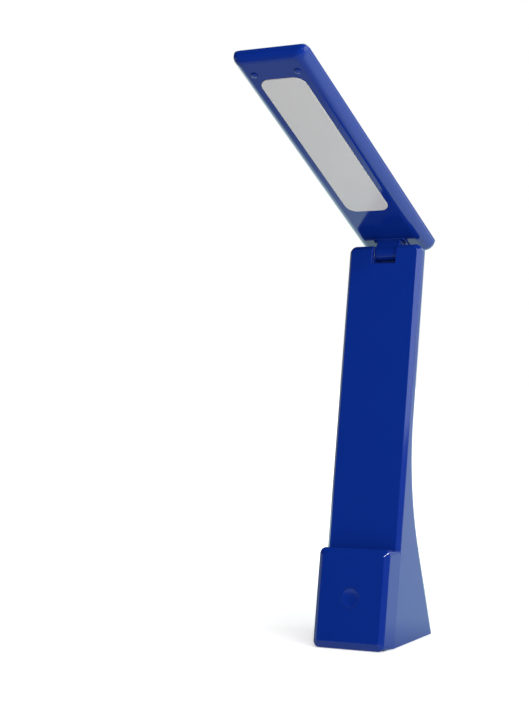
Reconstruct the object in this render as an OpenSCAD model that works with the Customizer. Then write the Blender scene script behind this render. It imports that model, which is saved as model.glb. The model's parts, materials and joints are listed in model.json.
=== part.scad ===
// Folding LED desk lamp with a leaning stem on a flared foot, drawn open.
// Most sub-parts are placed in the lean frame: x across, y back from the foot's
// front face and z up along it. The head is placed in the same frame as it lies
// folded, and head_pose() then opens it about the hinge.

/* [Stand] */
// Width of the foot and the stem
stand_width = 55; // [50:0.5:62]
// Lean of the front face back from upright, in degrees
lean = 12.4; // [8:0.2:15]
// Height of the front block along its face
block_height = 67.6; // [62:0.2:80]
// Depth of the ledge on top of the front block
ledge_depth = 12.6; // [12:0.1:16]
// Thickness of the stem
stem_thickness = 13.6; // [13.2:0.1:18]
// Length of the stand along its front face
stem_length = 278.2; // [265:0.2:300]
// Depth of the foot on the desk
foot_depth = 79.6; // [76:0.2:95]
// Slope of the foot's back, in degrees
rear_slope = 15.7; // [12:0.1:18]
// Radius of the concave flare between stem and foot
flare_radius = 178; // [120:1:200]
// Bevel round the front faces
bevel = 2.6; // [1:0.1:2.8]
// Rounding of the long rear edges
rear_rounding = 7; // [4:0.5:8]
// Rounding of the stem's top corners
top_rounding = 5; // [3:0.5:6]
// Rounding of the front block's four corners
block_rounding = 4.5; // [2:0.5:5]
// Width of the front block's bevel along its two sides
block_bevel_side = 3.4; // [2.6:0.1:3.6]
// Width of the front block's bevel along its top and bottom
block_bevel_end = 4.4; // [3:0.1:5]
// Wall of the stand's covers
wall = 2.2; // [1.8:0.1:2.4]
// Plain strip between the stem's bevel and the seam of the two covers
seam_land = 0.3; // [0.1:0.1:0.6]
// How much the front block narrows from the seam to its bevel, on each side
block_draft = 1; // [0:0.1:1.2]
// Wall over the hinge in the stem's top
top_wall = 1.3; // [1:0.1:1.4]

/* [Head] */
// Width of the head
head_width = 54; // [50:0.5:60]
// Distance from the hinge axis to the head's end
head_overrun = 14.6; // [12:0.1:15]
// Thickness of the head
head_thickness = 10.7; // [10.4:0.1:10.9]
// Rounding of the lit face's edges at the head's two ends
head_rounding = 5; // [3:0.5:5]
// Rounding of the lit face's edges along the head's two sides
head_side_rounding = 8; // [5:0.5:8]
// Rounding of the head's four corners
head_corner = 5; // [4:0.5:6]
// Wall of the head's shells
head_wall = 1.8; // [1.4:0.1:1.9]
// Depth of the seam between the head's shells
head_seam = 5.4; // [5:0.1:5.6]
// Gap between the folded head's tip and the ledge
tip_gap = 3.9; // [2:0.1:6]
// Angle between the folded and the open head, in degrees
open_angle = 111; // [90:1:130]

/* [Light] */
// Width of the diffuser
diffuser_width = 32; // [26:0.5:36]
// Length of the diffuser
diffuser_length = 142.6; // [120:0.2:146]
// Rounding of the diffuser's corners
diffuser_corner = 7.4; // [3:0.2:8]
// Distance from the head's tip to the diffuser
diffuser_start = 20.5; // [19:0.5:24]
// How far the diffuser stands out of the head
diffuser_proud = 0.3; // [0:0.1:0.4]
// Columns of light emitting diodes
led_columns = 14; // [8:1:16]
// Rows of light emitting diodes
led_rows = 2; // [1:1:3]
// Thickness of the circuit board under the diodes
led_board_thickness = 1.2; // [1:0.1:1.4]
// Height of the rubber bumpers over the lit face
bumper_height = 1.4; // [0.6:0.1:1.5]
// Radius of the rubber bumpers
bumper_radius = 2.1; // [1.6:0.1:2.4]
// Distance between the two rubber bumpers
bumper_spacing = 31; // [26:0.5:34]
// Distance from the head's tip to the bumpers
bumper_start = 15; // [12:0.5:15]

/* [Hinge] */
// Width of the notch in the stem's top
notch_width = 18.2; // [17:0.1:19]
// Depth of the notch in the stem's top
notch_depth = 13; // [11.5:0.1:15]
// Distance from the stem's front face back to the hinge axis
hinge_back = 7.6; // [7.5:0.1:8]
// Distance from the stem's top down to the hinge axis
hinge_down = 4.8; // [4.6:0.1:5.4]
// Radius of the knuckle's barrel
barrel_radius = 5.2; // [4.6:0.1:5.4]
// Gap between the knuckle and each side of the notch
knuckle_gap = 0.4; // [0.3:0.05:0.5]
// Thickness of the knuckle's neck
neck_thickness = 9.5; // [8:0.1:10]
// Width of the knuckle's flange on the head
flange_width = 24.4; // [20:0.2:30]
// Height of the knuckle's flange on the head
flange_height = 13; // [11:0.5:14]
// Thickness of the knuckle's flange
flange_thickness = 1.3; // [1:0.1:1.4]
// Outer radius of the hollow hinge pin
pin_radius = 2; // [1.8:0.1:2]
// Inner radius of the hollow hinge pin
pin_bore = 1.2; // [1:0.05:1.25]
// Running clearance round the hinge pin
pin_clearance = 0.05; // [0.02:0.01:0.1]
// Thickness of the steel hinge brackets
bracket_thickness = 1.5; // [1:0.1:2]

/* [Foot] */
// Thickness of the bottom plate
plate_thickness = 3; // [2.8:0.1:3.4]
// Thickness of the rubber pad under the foot
pad_thickness = 1.2; // [1:0.1:1.3]
// How far the rubber pad stands out below the foot
pad_proud = 0.5; // [0.4:0.1:0.8]
// Thickness of the steel weight
weight_thickness = 6; // [3:0.5:6]
// Radius of the battery cell
cell_radius = 9.2; // [7:0.1:9.4]
// Length of the battery cell
cell_length = 65; // [50:0.5:66]
// Distance from the front face to the battery cell's axis
cell_back = 28; // [27:0.5:30]

/* [Switch] */
// Radius of the power button
button_radius = 6.9; // [5:0.1:7.5]
// Height of the power button up the front face
button_height = 34.5; // [32:0.5:42]
// Depth of the button's finger dish
dish_depth = 1; // [0.4:0.1:1.2]
// Travel of the power button
button_travel = 0.8; // [0.4:0.1:0.8]
// Width of the main circuit board
board_width = 42; // [38:0.5:46]
// Lower edge of the main circuit board up the front face
board_start = 20; // [19:0.5:22]
// Height of the main circuit board
board_height = 42; // [38:0.5:43]

/* [Socket] */
// Height of the charging socket above the desk, up the foot's back
socket_height = 20.8; // [19:0.2:26]
// Radius of the socket's threaded neck
socket_radius = 3.95; // [3.8:0.05:4.4]
// Radius of the socket's bore
socket_bore = 2.95; // [2.8:0.05:3.1]

/* [Hidden] */
$fn = 64;
slack = 0.15;
screw_slack = 0.03;
face_gap = 0.05;
big = 400;
seam = ledge_depth + bevel + seam_land;
stem_back = ledge_depth + stem_thickness;
half = stand_width / 2;

// Screw sizes: the radius and height of a head, and the shank's radius
head_r = 2;
head_h = 1.2;
shank_r = 0.9;
boss_r = 2.8;

// Flare: turn of the rear face, its arc's centre and where the arc starts and ends
turn = lean + rear_slope;
foot_back = foot_depth * cos(lean);
foot_rise = foot_depth * sin(lean);
meet = (foot_back - stem_back) / sin(turn);
arc_leg = flare_radius * tan(turn / 2);
flare_top = foot_rise + meet * cos(turn) + arc_leg;
flare_back = stem_back + flare_radius;
lower_run = meet - arc_leg;

// Hinge axis in the lean frame
axis_back = ledge_depth + hinge_back;
axis_up = stem_length - hinge_down;
notch_floor = stem_length - notch_depth;
notch_lip_drop = 3.4;
// The foot below the flare is drawn in by this hairline, so that the two join as one solid
flare_step = 0.02;
knuckle_half = notch_width / 2 - knuckle_gap;
washer_t = knuckle_gap - 2 * face_gap;
bracket_in = notch_width / 2 + wall + face_gap;
bracket_out = bracket_in + bracket_thickness;
hinge_room = hinge_down - top_wall - 0.15;
collar_t = 1.2;
spring_washer_t = 1.2;
nut_t = 2.5;
nut_in = bracket_out + spring_washer_t + 2 * face_gap;
pin_end = nut_in + nut_t + 1.5;
bracket_drop = 23;
bracket_foot_drop = 8;
bracket_boss_h = 3;
bracket_screw_gap = 4.8;
bracket_screw_edge = 4;
bracket_screw_pitch = 7;
bracket_screw_l = 5;
bracket_low = axis_up - bracket_drop;
bracket_foot_top = axis_up - bracket_foot_drop;
bracket_foot_back = stem_back - wall - bracket_boss_h;
bracket_screw_x = bracket_out + bracket_screw_gap;
bracket_screws_up = [for (i = [0, 1]) bracket_low + bracket_screw_edge + i * bracket_screw_pitch];

// Head, as it lies folded
tip_up = block_height + tip_gap;
head_end = axis_up + head_overrun;
head_length = head_end - tip_up;
head_half = head_width / 2;
inner_back = head_thickness - head_wall;
diffuser_mid = tip_up + diffuser_start + diffuser_length / 2;
led_post_h = 1.5;
led_board_front = head_wall + led_post_h;
led_board_back = led_board_front + led_board_thickness;
led_margin = 2;
diffuser_flange = 1.8;
diffuser_flange_t = 0.8;
diffuser_seat = inner_back - face_gap;
led_board_w = diffuser_width + 2 * led_margin;
led_board_l = diffuser_length + 2 * led_margin;
bumper_up = tip_up + bumper_start;
tip_screw_seat = inner_back - head_h - face_gap;
knuckle_screw_x = 5.8;
wire_hole_r = 1.8;
led_screw_inset = 10;

// Main board, its posts and its switch
board_front = 9;
board_t = 1.6;
board_screw_x = board_width / 2 - 3.5;
board_screws_up = [board_start + 4.5, board_start + board_height - 4.5];
flange_r = button_radius + 1.45;
flange_t = 1;
button_stem_r = 2.2;
plunger_r = 1.7;
switch_front = 5.8;
plunger_front = switch_front - button_travel - 0.1;
switch_side = 6;

// Foot: the base plane's corners, screws, weight and cell, with y back from the front edge
floor_front = (bevel + wall) / cos(lean) + plate_thickness * tan(lean) + slack;
floor_back = foot_depth - plate_thickness * tan(rear_slope) - wall / cos(rear_slope) - slack;
pad_inset = 1.8;
pad_corner = 4;
front_boss = [half - wall - 4.8, 12];
rear_boss = [half - wall - 6.3, foot_depth - 11.6];
boss_top = plate_thickness + 9.5;
weight_front = front_boss[1] + boss_r + 2;
weight_back = rear_boss[1] - boss_r - 2.5;
weight_half = half - wall - 1.3;
weight_top = plate_thickness + weight_thickness;
cell_low = (weight_top + 0.5 + (cell_back + cell_radius) * sin(lean)) / cos(lean);
strap_up = cell_low + cell_length * 0.49;
strap_t = 1.2;
strap_h = 8;
strap_screw_x = cell_radius + 5.6;
strap_reach = strap_screw_x + 3.2;
saddle_t = 2;
saddle_deep = cell_radius + 2.6;
saddles_up = [cell_low + cell_length * 0.14, cell_low + cell_length * 0.815];

// Charging socket: lengths in from the foot's back face
socket_flange_t = 1;
socket_deep = 12;
socket_bore_deep = 9.5;
socket_pin_r = 1;
socket_pin_short = 0.8;
socket_nut_t = 2.2;

// Wire routes, in the lean frame
wire_r = 0.9;
wire_x = half - wall - 2.5;
stem_route = [
    [12.5, 14, 54.5], [12.6, 16, 59.5], [13.4, 18, 67], [14, 19.2, 76], [14, 20, 90],
    [13, 20, 115], [13, 20, 140], [14, 20, 165], [15, 20, 190], [17, 20, 215],
    [20, 20, axis_up - 42], [22, 20, axis_up - 30],
    [wire_x, axis_back, axis_up - 20], [wire_x, axis_back, axis_up - 8],
    [wire_x - 0.6, axis_back, axis_up - 3.6], [wire_x - 2.2, axis_back, axis_up - 1],
    [wire_x - 4.4, axis_back, axis_up], [pin_end - 3, axis_back, axis_up],
    [8, axis_back, axis_up], [4.5, axis_back, axis_up]
];
head_wire_r = 0.8;
board_end = diffuser_mid + led_board_l / 2;
head_route = [
    [0, axis_back - pin_radius - 0.9, axis_up], [0, 13.5, axis_up],
    [0, inner_back + 0.6, axis_up], [0, inner_back - 1.6, axis_up - 1.6],
    [0, led_board_back + 1.6, axis_up - 5], [0, led_board_back + 1.4, (axis_up + board_end) / 2 + 8],
    [0, led_board_back + 1.3, (axis_up + board_end) / 2], [0, led_board_back + 1.1, board_end + 4],
    [0, led_board_back + 1, board_end - 1.2]
];

// Frames and directions

module lean_frame() {
    translate([0, -foot_depth / 2, pad_proud])
        rotate([-lean, 0, 0])
            children();
}

module head_pose() {
    lean_frame()
        translate([0, axis_back, axis_up])
            rotate([-open_angle, 0, 0])
                translate([0, -axis_back, -axis_up])
                    children();
}

// The upright frame: z up from the base plane, y back from the foot's front edge
module upright_frame() {
    translate([0, -foot_depth / 2, pad_proud])
        children();
}

// A point of the foot's back face, with z out of the face
module socket_frame() {
    lean_frame()
        translate([0, foot_back - socket_height * sin(turn), foot_rise + socket_height * cos(turn)])
            rotate([turn - 90, 0, 0])
                children();
}

// Extrudes a shape drawn across and up from one depth to another
module along_depth(from, to) {
    translate([0, to, 0])
        rotate([90, 0, 0])
            linear_extrude(to - from)
                children();
}

// Extrudes a shape drawn back and up across the middle
module along_width(reach) {
    translate([-reach, 0, 0])
        rotate([90, 0, 90])
            linear_extrude(2 * reach)
                children();
}

module disc(radius, from, to) {
    translate([0, 0, from])
        cylinder(r = radius, h = to - from);
}

// A disc whose axis runs back from the front face
module deep_disc(radius, from, to) {
    translate([0, to, 0])
        rotate([90, 0, 0])
            cylinder(r = radius, h = to - from);
}

// A disc whose axis runs across the lamp
module cross_disc(radius, from, to) {
    translate([from, 0, 0])
        rotate([0, 90, 0])
            cylinder(r = radius, h = to - from);
}

module each_side() {
    for (side = [-1, 1])
        scale([1, 1, 1])
            mirror([side < 0 ? 1 : 0, 0, 0])
                children();
}

// Flat shapes

module round_rect(w, h, r) {
    square([w - 2 * r, h], center = true);
    square([w, h - 2 * r], center = true);
    for (sx = [-1, 1], sy = [-1, 1])
        translate([sx * (w / 2 - r), sy * (h / 2 - r)])
            circle(r);
}

// Rectangle from below up to top, with its two top corners rounded
module round_top(w, top, r) {
    translate([-w / 2, -big])
        square([w, big + top - r]);
    translate([-w / 2 + r, 0])
        square([w - 2 * r, top]);
    for (s = [-1, 1])
        translate([s * (w / 2 - r), top - r])
            circle(r);
}

// Section of the foot and stem: x runs in from the rear face, with the rear corners rounded
module rear_section(half_width, r, depth) {
    translate([r, -half_width])
        square([depth - r, 2 * half_width]);
    translate([0, r - half_width])
        square([depth, 2 * (half_width - r)]);
    for (s = [-1, 1])
        translate([r, s * (half_width - r)])
            circle(r);
}

// Solids

// The stem and the flared foot in front of their rear face, drawn in from it by inset
module rear_solid(inset) {
    depth = foot_back + 20;
    r = rear_rounding - inset;
    radius = flare_radius + inset;
    translate([0, flare_back, flare_top])
        rotate([90, 0, 90])
            rotate([0, 0, 180]) {
                rotate([90, 0, 0])
                    linear_extrude(big / 2)
                        translate([radius, 0])
                            rear_section(half - inset, r, depth);
                rotate_extrude(angle = turn)
                    translate([radius, 0])
                        rear_section(half - inset, r, depth);
                rotate([0, 0, turn])
                    translate([0, lower_run + 40, 0])
                        rotate([90, 0, 0])
                            linear_extrude(lower_run + 41)
                                translate([radius + flare_step, 0])
                                    rear_section(half - inset - flare_step, r, depth);
            }
}

module below_floor() {
    rotate([lean, 0, 0])
        translate([-big / 2, -big / 2, -big])
            cube([big, big, big]);
}

module in_front_of(depth) {
    translate([-big / 2, depth - big, -big / 2])
        cube([big, big, 2 * big]);
}

module notch(grow, from) {
    w = notch_width + 2 * grow;
    translate([-w / 2, from, notch_floor - grow])
        cube([w, big, notch_depth + 30]);
}

// The notch, closed behind the lower half of the knuckle's barrel
module lipped_notch() {
    difference() {
        notch(0, 0);
        difference() {
            translate([-notch_width, axis_back, 0])
                cube([2 * notch_width, big, axis_up - notch_lip_drop]);
            translate([0, axis_back, axis_up])
                cross_disc(barrel_radius + knuckle_gap, -2 * notch_width, 2 * notch_width);
        }
    }
}

// A thin rounded plate at one depth: a bevelled shape is the hull of a few of them
module ring(depth, half_width, low, high, r) {
    along_depth(depth, depth + 0.01)
        translate([0, (low + high) / 2])
            round_rect(2 * half_width, high - low, r, $fn = 48);
}

module block_outline() {
    side = half - block_draft;
    toe = bevel * tan(lean);
    hull() {
        ring(0, side - block_bevel_side, toe + block_bevel_end, block_height - block_bevel_end, 1.2);
        ring(bevel - 0.01, side, toe, block_height, block_rounding);
        ring(seam - 0.01, half, seam * tan(lean), block_height, 0.6);
    }
}

// The room inside the front block, which follows its bevels and is open at the back and below
module block_cavity() {
    inner = half - wall;
    toe = bevel * tan(lean);
    roof = block_height - wall;
    intersection() {
        along_width(inner)
            polygon([
                [wall, toe + block_bevel_end + 1], [wall + bevel, toe + 1], [wall + bevel, -20],
                [wall + seam, -20], [wall + seam, roof], [wall + bevel * 0.7, roof],
                [wall, roof - block_bevel_end * 0.7]
            ]);
        translate([0, 0, -20])
            linear_extrude(big)
                polygon([
                    [block_bevel_side - inner, wall], [inner - block_bevel_side, wall],
                    [inner, wall + bevel * 0.9], [inner, wall + seam],
                    [-inner, wall + seam], [-inner, wall + bevel * 0.9]
                ]);
    }
}

module stem_front_outline() {
    r = top_rounding;
    difference() {
        intersection() {
            along_width(half)
                polygon([
                    [ledge_depth, block_height - wall], [seam, block_height - wall],
                    [seam, stem_length], [ledge_depth + bevel, stem_length],
                    [ledge_depth, stem_length - bevel]
                ]);
            translate([0, 0, block_height - wall])
                linear_extrude(stem_length)
                    polygon([
                        [-half + bevel, ledge_depth], [half - bevel, ledge_depth],
                        [half, ledge_depth + bevel], [half, seam],
                        [-half, seam], [-half, ledge_depth + bevel]
                    ]);
        }
        each_side()
            translate([half - r, 0, stem_length - r])
                cube([r + 1, big, r + 1]);
    }
    each_side()
        translate([half - r, ledge_depth, stem_length - r])
            rotate([-90, 0, 0]) {
                cylinder(r1 = r - bevel, r2 = r, h = bevel);
                translate([0, 0, bevel])
                    cylinder(r = r, h = seam - ledge_depth - bevel);
            }
}

module rear_outline() {
    difference() {
        intersection() {
            rear_solid(0);
            along_depth(seam, big / 2)
                round_top(stand_width, stem_length, top_rounding);
            along_width(half + 1) {
                translate([0, -big])
                    square([big, big + stem_length - top_rounding]);
                translate([0, 0])
                    square([stem_back - top_rounding, stem_length]);
                translate([stem_back - top_rounding, stem_length - top_rounding])
                    circle(top_rounding);
            }
        }
        below_floor();
    }
}

// How far an edge of radius r round the lit face has drawn in at a depth
function edge_inset(depth, r) =
    depth <= head_thickness - r ? 0 : r - sqrt(max(0, r * r - pow(depth - head_thickness + r, 2)));

// The head's outside between two depths of its thickness
module head_outside(from, to) {
    steps = 9;
    intersection() {
        hull() {
            ring(0, head_half - bevel, tip_up + bevel, head_end - bevel, head_corner - bevel);
            for (i = [0 : steps]) {
                depth = bevel + (head_thickness - bevel - 0.01) * sin(90 * i / steps);
                end = edge_inset(depth, head_rounding);
                ring(depth, head_half - edge_inset(depth, head_side_rounding),
                    tip_up + end, head_end - end, head_corner - end * 0.6);
            }
        }
        along_depth(from, to)
            translate([-head_width, 0])
                square([2 * head_width, big]);
    }
}

// The room inside the head, a wall's thickness in from its outside
module head_inside(from, to) {
    w = head_width - 2 * head_wall;
    l = head_length - 2 * head_wall;
    mid = tip_up + head_length / 2;
    intersection() {
        along_depth(from, to)
            translate([0, mid])
                round_rect(w, l, head_corner - head_wall * 0.5);
        translate([0, 0, tip_up - 1])
            linear_extrude(head_length + 2)
                room_profile(w / 2, head_side_rounding - head_wall);
        translate([0, 0, mid])
            rotate([0, 90, 0])
                translate([0, 0, -head_half])
                    linear_extrude(head_width)
                        room_profile(l / 2, head_rounding - head_wall);
    }
}

// Half width to each side, bevelled at the front and rounded at the back
module room_profile(reach, r) {
    c = min(bevel - head_wall * 0.6, inner_back - r - head_wall - 0.05);
    polygon([
        [-reach + c, head_wall], [reach - c, head_wall], [reach, head_wall + c], [reach, inner_back - r],
        [-reach, inner_back - r], [-reach, head_wall + c]
    ]);
    translate([r - reach, inner_back - r - 0.01])
        square([2 * (reach - r), r + 0.01]);
    for (s = [-1, 1])
        translate([s * (reach - r), inner_back - r])
            circle(r);
}

// Fasteners, with the head under z = 0 and the shank up along z
module screw(length) {
    difference() {
        disc(head_r, -head_h, 0);
        translate([0, 0, -head_h])
            for (a = [0, 90])
                rotate([0, 0, a])
                    cube([2.2, 0.5, 1], center = true);
    }
    disc(shank_r, -0.01, length);
}

// A tube swept along a route's points
function unit(v) = v / norm(v);
function step_at(route, i) = unit(route[min(i + 1, len(route) - 1)] - route[max(i - 1, 0)]);
function ring(route, i, r, sides, side_way) =
    let (t = step_at(route, i), a = unit(cross(t, side_way)), b = cross(t, a))
        [for (k = [0 : sides - 1])
            route[i] + r * (cos(360 * k / sides) * a + sin(360 * k / sides) * b)];

module tube(route, r, side_way, sides = 8) {
    n = len(route);
    points = [for (i = [0 : n - 1]) each ring(route, i, r, sides, side_way)];
    walls = [for (i = [0 : n - 2], k = [0 : sides - 1])
        let (a = i * sides + k, b = i * sides + (k + 1) % sides)
            each [[a, a + sides, b], [b, a + sides, b + sides]]];
    start = [for (k = [1 : sides - 2]) [0, k, k + 1]];
    last = (n - 1) * sides;
    end = [for (k = [1 : sides - 2]) [last, last + k + 1, last + k]];
    polyhedron(points, concat(walls, start, end));
}

// Stand

module front_cover() {
    inner = half - wall;
    color("mediumblue")
        lean_frame()
            difference() {
                union() {
                    difference() {
                        union() {
                            block_outline();
                            stem_front_outline();
                        }
                        block_cavity();
                    }
                    for (up = board_screws_up)
                        each_side()
                            translate([board_screw_x, 0, up])
                                deep_disc(boss_r, wall - 0.5, board_front);
                    translate([0, 0, button_height])
                        deep_disc(flange_r + 1.2, wall - 0.5, switch_front - button_travel - 0.6);
                    difference() {
                        rotate([lean, 0, 0])
                            each_side() {
                                translate([front_boss[0], front_boss[1], 0])
                                    disc(boss_r, plate_thickness, boss_top);
                                translate([front_boss[0], front_boss[1] - 1, plate_thickness])
                                    cube([inner - front_boss[0] + 1, 2, boss_top - plate_thickness]);
                            }
                        translate([-inner - 20 - wall * 0.5, 0, 0])
                            cube([20, big, big]);
                        translate([inner + wall * 0.5, 0, 0])
                            cube([20, big, big]);
                    }
                }
                for (up = board_screws_up)
                    each_side()
                        translate([board_screw_x, 0, up])
                            deep_disc(shank_r + screw_slack, wall + 0.8, board_front + 1);
                translate([0, 0, button_height]) {
                    deep_disc(button_radius + 0.1, -1, wall + 1);
                    deep_disc(flange_r + 0.1, wall, big / 4);
                }
                rotate([lean, 0, 0])
                    each_side()
                        translate([front_boss[0], front_boss[1], 0])
                            disc(shank_r + screw_slack, 0, boss_top - 1);
                notch(0, 0);
            }
}

module rear_cover() {
    color("mediumblue")
        difference() {
            lean_frame()
                difference() {
                    union() {
                        difference() {
                            rear_outline();
                            difference() {
                                intersection() {
                                    rear_solid(wall);
                                    translate([-half, seam - 1, -20])
                                        cube([stand_width, big, stem_length - top_wall + 20]);
                                }
                                notch(wall, 0);
                            }
                        }
                        cell_saddles();
                        bracket_bosses();
                        rear_plate_bosses();
                    }
                    lipped_notch();
                    translate([0, axis_back, axis_up])
                        cross_disc(pin_radius + pin_clearance, -bracket_in, bracket_in);
                    each_side()
                        for (up = bracket_screws_up)
                            translate([bracket_screw_x, 0, up])
                                deep_disc(shank_r + screw_slack, bracket_foot_back - 1, stem_back - 0.8);
                    each_side()
                        translate([strap_screw_x, 0, strap_up])
                            deep_disc(shank_r + screw_slack, cell_back - 1, cell_back + 8);
                    translate([0, cell_back, cell_low - 1])
                        cylinder(r = cell_radius + slack, h = cell_length + 2);
                    rotate([lean, 0, 0])
                        each_side()
                            translate([rear_boss[0], rear_boss[1], 0])
                                disc(shank_r + screw_slack, 0, boss_top - 1);
                }
            socket_frame()
                disc(socket_radius + 0.1, -wall - 2, 2);
        }
}

// Ribs across the foot that carry the battery cell, with two bosses for its strap
module cell_saddles() {
    inner = half - wall * 0.5;
    for (up = saddles_up)
        translate([-inner, cell_back, up])
            cube([2 * inner, saddle_deep, saddle_t]);
    for (up = [strap_up - 4, strap_up + 2.4])
        translate([-inner, cell_back, up])
            cube([2 * inner, saddle_deep, 1.6]);
    each_side()
        translate([strap_screw_x, 0, strap_up])
            deep_disc(boss_r, cell_back, cell_back + saddle_deep);
}

module bracket_bosses() {
    each_side()
        for (up = bracket_screws_up)
            translate([bracket_screw_x, 0, up])
                deep_disc(boss_r, bracket_foot_back, stem_back - wall * 0.5);
}

module rear_plate_bosses() {
    reach = half - wall * 0.5 - rear_boss[0];
    rotate([lean, 0, 0])
        each_side() {
            translate([rear_boss[0], rear_boss[1], 0])
                disc(boss_r, plate_thickness, boss_top);
            translate([rear_boss[0], rear_boss[1] - 1, plate_thickness])
                cube([reach, 2, boss_top - plate_thickness]);
        }
}

module plate_screw_spots() {
    each_side()
        for (spot = [front_boss, rear_boss])
            translate([spot[0], spot[1], 0])
                children();
}

module pad_outline(shrink) {
    w = 2 * (half - wall - slack - pad_inset - shrink);
    l = floor_back - floor_front - 2 * (pad_inset + shrink);
    translate([0, (floor_front + floor_back) / 2])
        round_rect(w, l, pad_corner);
}

module bottom_plate() {
    w = stand_width - 2 * wall - 2 * slack;
    r = rear_rounding - wall - slack;
    seat = pad_thickness - pad_proud;
    color("darkblue")
        upright_frame()
            difference() {
                linear_extrude(plate_thickness) {
                    translate([-w / 2, floor_front])
                        square([w, floor_back - floor_front - r]);
                    translate([r - w / 2, floor_front])
                        square([w - 2 * r, floor_back - floor_front]);
                    for (s = [-1, 1])
                        translate([s * (w / 2 - r), floor_back - r])
                            circle(r);
                }
                translate([0, 0, -1])
                    linear_extrude(1 + seat)
                        pad_outline(-0.05);
                plate_screw_spots() {
                    disc(shank_r + 0.1, -1, plate_thickness + 1);
                    disc(head_r + 0.1, 0, seat + head_h + 0.1);
                }
            }
}

module foot_pad() {
    color("dimgray")
        upright_frame()
            translate([0, 0, -pad_proud])
                linear_extrude(pad_thickness)
                    pad_outline(0);
}

module base_screws() {
    color("silver")
        upright_frame()
            plate_screw_spots()
                translate([0, 0, pad_thickness - pad_proud + head_h + 0.1])
                    screw(6.5);
}

module steel_weight() {
    color("gray")
        upright_frame()
            translate([0, (weight_front + weight_back) / 2, plate_thickness])
                linear_extrude(weight_thickness)
                    round_rect(2 * weight_half, weight_back - weight_front, 2);
}

module battery_cell() {
    color("seagreen")
        lean_frame()
            translate([0, cell_back, cell_low]) {
                disc(cell_radius, 0.6, cell_length - 2);
                disc(cell_radius - 0.7, 0, cell_length - 1);
                disc(2.8, 0, cell_length);
            }
}

module battery_strap() {
    inner_r = cell_radius + 0.1;
    color("black")
        lean_frame()
            translate([0, cell_back, strap_up - strap_h / 2])
                difference() {
                    union() {
                        intersection() {
                            cylinder(r = inner_r + strap_t, h = strap_h);
                            translate([-big / 2, -big, 0])
                                cube([big, big, strap_h]);
                        }
                        translate([-strap_reach, -strap_t, 0])
                            cube([2 * strap_reach, strap_t, strap_h]);
                    }
                    translate([0, 0, -1])
                        cylinder(r = inner_r, h = strap_h + 2);
                    each_side()
                        translate([strap_screw_x, 0, strap_h / 2])
                            deep_disc(shank_r + 0.1, -strap_t - 1, 1);
                }
}

module strap_screws() {
    color("silver")
        lean_frame()
            each_side()
                translate([strap_screw_x, cell_back - strap_t, strap_up])
                    rotate([-90, 0, 0])
                        screw(7);
}

// Two leads from the battery cell's ends to the main board
module battery_leads() {
    low = cell_low;
    high = cell_low + cell_length;
    color("firebrick")
        lean_frame() {
            tube([
                [-2, cell_back - 4, high + 0.9], [-9, cell_back - 6, high + 1.2],
                [-13.5, cell_back - 8, high - 3], [-14.5, cell_back - 9, high - 10],
                [-14.5, cell_back - 10, high - 20], [-13, 15.5, 59], [-11, 13, 55],
                [-9.6, 11.6, 53.6], [-9, 10.8, 53.4]
            ], 0.7, [0, 1, 0.01]);
            tube([
                [-2, cell_back - 4, low - 0.9], [-7, cell_back - 7, low - 0.5],
                [-11.5, cell_back - 9, low + 2], [-14.5, 17.5, low + 6],
                [-15.5, 15.6, low + 12], [-16, 14.4, 37], [-15.8, 12.6, 40],
                [-15.6, 11.6, 41.2], [-15.5, 10.8, 41.6]
            ], 0.7, [0, 1, 0.01]);
        }
}

module main_board() {
    color("darkgreen")
        lean_frame()
            difference() {
                translate([-board_width / 2, board_front, board_start])
                    cube([board_width, board_t, board_height]);
                for (up = board_screws_up)
                    each_side()
                        translate([board_screw_x, 0, up])
                            deep_disc(shank_r + 0.15, board_front - 1, board_front + board_t + 1);
            }
}

// The parts soldered on the main board's rear: [x, up, width, height, depth]
board_blocks = [
    [-10.5, 10.2, 9, 12, 1.6], [2, 8, 8, 8, 3], [-2, 23, 7, 5, 1.4], [10.5, 19, 5, 7, 2.2],
    [12.5, 33, 6, 6, 2.4], [-13.5, 27, 4, 4.5, 1], [4, 32, 3.2, 1.6, 0.8]
];

module board_components() {
    color("black")
        lean_frame()
            for (b = board_blocks)
                translate([b[0] - b[2] / 2, board_front + board_t, board_start + b[1] - b[3] / 2])
                    cube([b[2], b[4], b[3]]);
}

module board_screws() {
    color("silver")
        lean_frame()
            for (up = board_screws_up)
                each_side()
                    translate([board_screw_x, board_front + board_t, up])
                        rotate([90, 0, 0])
                            screw(6.5);
}

module switch_body() {
    color("black")
        lean_frame()
            translate([0, 0, button_height])
                difference() {
                    translate([-switch_side / 2, switch_front, -switch_side / 2])
                        cube([switch_side, board_front - switch_front, switch_side]);
                    deep_disc(plunger_r + 0.1, switch_front - 1, board_front - 0.5);
                }
}

module switch_plunger() {
    color("dimgray")
        lean_frame()
            translate([0, 0, button_height])
                deep_disc(plunger_r, plunger_front, board_front - 0.7 - button_travel);
}

module power_button() {
    edge = button_radius - 0.55;
    dish_r = (edge * edge + dish_depth * dish_depth) / (2 * dish_depth);
    color("mediumblue")
        lean_frame()
            translate([0, 0, button_height])
                difference() {
                    union() {
                        deep_disc(button_radius, 0, wall + 0.3);
                        deep_disc(flange_r, wall + 0.2, wall + 0.2 + flange_t);
                        deep_disc(button_stem_r, wall + 1, plunger_front);
                    }
                    translate([0, dish_depth - dish_r, 0])
                        rotate([90, 0, 0])
                            sphere(dish_r);
                }
}

// Charging socket in the foot's back

module charge_socket() {
    color("black")
        socket_frame()
            difference() {
                union() {
                    disc(socket_radius, -socket_deep, 0.5);
                    disc(socket_radius + 1.4, 0, socket_flange_t);
                }
                disc(socket_bore, -socket_bore_deep, 2);
                disc(socket_pin_r + 0.02, -socket_deep - 1, 0);
            }
}

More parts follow.
